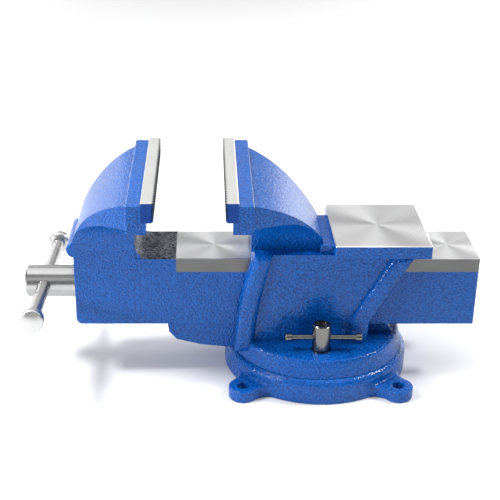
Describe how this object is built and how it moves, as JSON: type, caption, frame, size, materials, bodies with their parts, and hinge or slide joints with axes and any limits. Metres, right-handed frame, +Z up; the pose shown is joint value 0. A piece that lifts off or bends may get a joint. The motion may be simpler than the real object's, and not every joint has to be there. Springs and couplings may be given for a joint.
{
  "type": "bench vise",
  "caption": "Swivel-base bench vise with serrated jaw plates, box slide, raised anvil, tommy-bar screw and tee-bar swivel locks.",
  "frame": {"origin": "centre of the base's bolt circle, on the swivel axis, at the underside of the base", "axes": "+Z up along the swivel axis, +X from the screw handle towards the anvil at rest, +Y across the jaws"},
  "size_m": [0.3712, 0.1841, 0.1743],
  "materials": {
    "blue_paint": "glossy hammered enamel on cast iron, machined faces bare",
    "jaw_steel": "ground hardened steel, ends painted",
    "polished_steel": "polished",
    "nickel_plate": "nickel plated",
    "dark_hardware": "oiled black oxide",
    "spring_steel": "oiled",
    "raw_iron": "as cast, greased"
  },
  "bodies": {
    "base": {"swivel_base": "blue_paint"},
    "fixed_body": {"fixed_jaw_body": "blue_paint", "fixed_jaw_plate": "jaw_steel", "fixed_plate_screws": "dark_hardware", "lead_nut": "raw_iron", "lead_nut_bolts": "dark_hardware", "pivot_bolt": "dark_hardware", "pivot_washer": "dark_hardware", "pivot_nut": "dark_hardware", "lock_stud_near": "dark_hardware", "lock_stud_far": "dark_hardware", "lock_washer_near": "nickel_plate", "lock_washer_far": "nickel_plate"},
    "moving_jaw": {"moving_jaw_slide": "blue_paint", "moving_jaw_plate": "jaw_steel", "moving_plate_screws": "dark_hardware"},
    "screw": {"lead_screw": "polished_steel", "thrust_washer": "dark_hardware", "thrust_spring": "spring_steel", "retaining_collar": "dark_hardware", "collar_pin": "dark_hardware"},
    "handle": {"handle_bar": "polished_steel", "handle_cap_near": "polished_steel", "handle_cap_far": "polished_steel"},
    "nut_near": {"lock_nut_near": "nickel_plate"},
    "nut_far": {"lock_nut_far": "nickel_plate"},
    "bar_near": {"lock_bar_near": "nickel_plate", "lock_cap_near_front": "nickel_plate", "lock_cap_near_rear": "nickel_plate"},
    "bar_far": {"lock_bar_far": "nickel_plate", "lock_cap_far_front": "nickel_plate", "lock_cap_far_rear": "nickel_plate"}
  },
  "joints": [
    {"name": "swivel", "type": "hinge", "parent": "base", "child": "fixed_body", "pos_m": [0, 0, 0], "axis": [0, 0, 1], "continuous": true},
    {"name": "jaw_slide", "type": "slide", "parent": "fixed_body", "child": "moving_jaw", "axis": [1, 0, 0], "range_m": [-0.0966, 0.0533]},
    {"name": "screw_turn", "type": "hinge", "parent": "moving_jaw", "child": "screw", "pos_m": [-0.2, 0, 0.0735], "axis": [1, 0, 0], "range_deg": [-5797, 3199]},
    {"name": "handle_slide", "type": "slide", "parent": "screw", "child": "handle", "axis": [0, 0.9976, -0.0698], "range_m": [-0.0757, 0.0612]},
    {"name": "lock_near_turn", "type": "hinge", "parent": "fixed_body", "child": "nut_near", "pos_m": [0, -0.051, 0.048], "axis": [0, 0, 1], "range_deg": [-8.5, 8.5]},
    {"name": "lock_far_turn", "type": "hinge", "parent": "fixed_body", "child": "nut_far", "pos_m": [0, 0.051, 0.048], "axis": [0, 0, 1], "range_deg": [-8.5, 8.5]},
    {"name": "bar_near_slide", "type": "slide", "parent": "nut_near", "child": "bar_near", "axis": [1, 0, 0], "range_m": [-0.0193, 0.0161]},
    {"name": "bar_far_slide", "type": "slide", "parent": "nut_far", "child": "bar_far", "axis": [1, 0, 0], "range_m": [-0.0193, 0.0161]}
  ],
  "couplings": [
    {"joint": "screw_turn", "follows": "jaw_slide", "rad_per_m": 1047.2}
  ]
}
